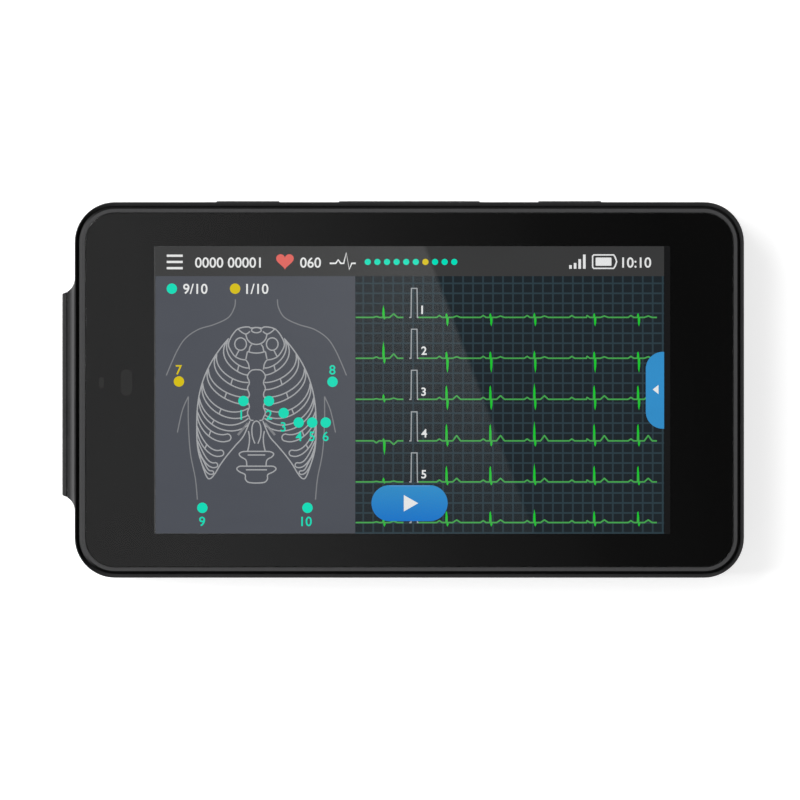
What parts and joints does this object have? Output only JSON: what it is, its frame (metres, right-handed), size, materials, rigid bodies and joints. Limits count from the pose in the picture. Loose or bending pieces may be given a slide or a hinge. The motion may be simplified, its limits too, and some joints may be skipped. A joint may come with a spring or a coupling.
{
  "type": "ecg home monitor",
  "caption": "Flat hand-held heart monitor: a wide glass screen in a dark case, low keys on one long side and a screw-lock lead socket in a boss on one end.",
  "frame": {"origin": "middle of the flat back, under the middle of the case without its socket boss and keys", "axes": "+X along the case to the right of the screen, +Y to the top of the screen (the side with the keys), +Z out of the glass"},
  "size_m": [0.1482, 0.0819, 0.018],
  "materials": {
    "housing_plastic": "fine moulded texture",
    "bezel_plastic": "satin",
    "surround_plastic": "satin",
    "key_plastic": "satin",
    "cover_glass": "polished",
    "black_print": "gloss",
    "window_print": "gloss",
    "sensor_glass": "gloss",
    "display": "gloss",
    "backlight_metal": "satin",
    "magnesium": "cast",
    "shield_metal": "satin",
    "screw_steel": "black oxide",
    "plated_steel": "nickel plated",
    "gold_contact": "gold plated",
    "brass": "turned",
    "circuit_board": "solder mask",
    "chip_plastic": "moulded",
    "flex_film": "film",
    "adhesive": "tape",
    "insulator_plastic": "moulded",
    "connector_plastic": "moulded",
    "battery_foil": "foil",
    "speaker_metal": "satin",
    "mesh_fabric": "woven"
  },
  "bodies": {
    "case": {"rear_housing": "housing_plastic", "socket_surround": "surround_plastic", "front_bezel": "bezel_plastic", "cover_glass": "cover_glass", "border_print": "black_print", "sensor_windows": "window_print", "glass_tape": "adhesive", "touch_sensor": "sensor_glass", "lcd_panel": "display", "backlight_unit": "backlight_metal", "midframe": "magnesium", "midframe_screws": "screw_steel", "sensor_board": "circuit_board", "light_sensor": "chip_plastic", "proximity_sensor": "chip_plastic", "display_flex": "flex_film", "display_connector": "connector_plastic", "touch_flex": "flex_film", "touch_connector": "connector_plastic", "main_board": "circuit_board", "board_screws": "screw_steel", "frontend_shield": "shield_metal", "processor_shield": "shield_metal", "modem_shield": "shield_metal", "processor_chip": "chip_plastic", "memory_chip": "chip_plastic", "modem_chip": "chip_plastic", "frontend_chips": "chip_plastic", "clock_cell": "plated_steel", "sim_holder": "shield_metal", "sim_card": "connector_plastic", "antenna": "flex_film", "antenna_spring": "gold_contact", "usb_shell": "plated_steel", "usb_tongue": "insulator_plastic", "socket_shell": "plated_steel", "socket_insulator": "insulator_plastic", "socket_contacts": "gold_contact", "jack_nuts": "plated_steel", "socket_nuts": "plated_steel", "power_dome": "plated_steel", "volume_down_dome": "plated_steel", "volume_up_dome": "plated_steel", "function_dome": "plated_steel", "key_bracket": "shield_metal", "key_flex": "flex_film", "battery_tape": "adhesive", "battery_cell": "battery_foil", "battery_connector": "connector_plastic", "battery_flex": "flex_film", "speaker_mesh": "mesh_fabric", "speaker": "speaker_metal", "speaker_contacts": "gold_contact", "housing_screws": "screw_steel", "thread_inserts": "brass"},
    "power_key": {"power_key": "key_plastic"},
    "volume_rocker": {"volume_rocker": "key_plastic"},
    "function_key": {"function_key": "key_plastic"}
  },
  "joints": [
    {"name": "power_key_press", "type": "slide", "parent": "case", "child": "power_key", "axis": [0, -1, 0], "range_m": [0, 0.00025], "stiffness_N_per_m": 300, "deforming": ["power_dome"]},
    {"name": "function_key_press", "type": "slide", "parent": "case", "child": "function_key", "axis": [0, -1, 0], "range_m": [0, 0.00025], "stiffness_N_per_m": 300, "deforming": ["function_dome"]},
    {"name": "volume_rocker_tip", "type": "hinge", "parent": "case", "child": "volume_rocker", "pos_m": [0, 0.03794, 0.009], "axis": [0, 0, 1], "range_deg": [-1, 1], "stiffness_Nm_per_rad": 0.03, "deforming": ["volume_down_dome", "volume_up_dome"]}
  ]
}
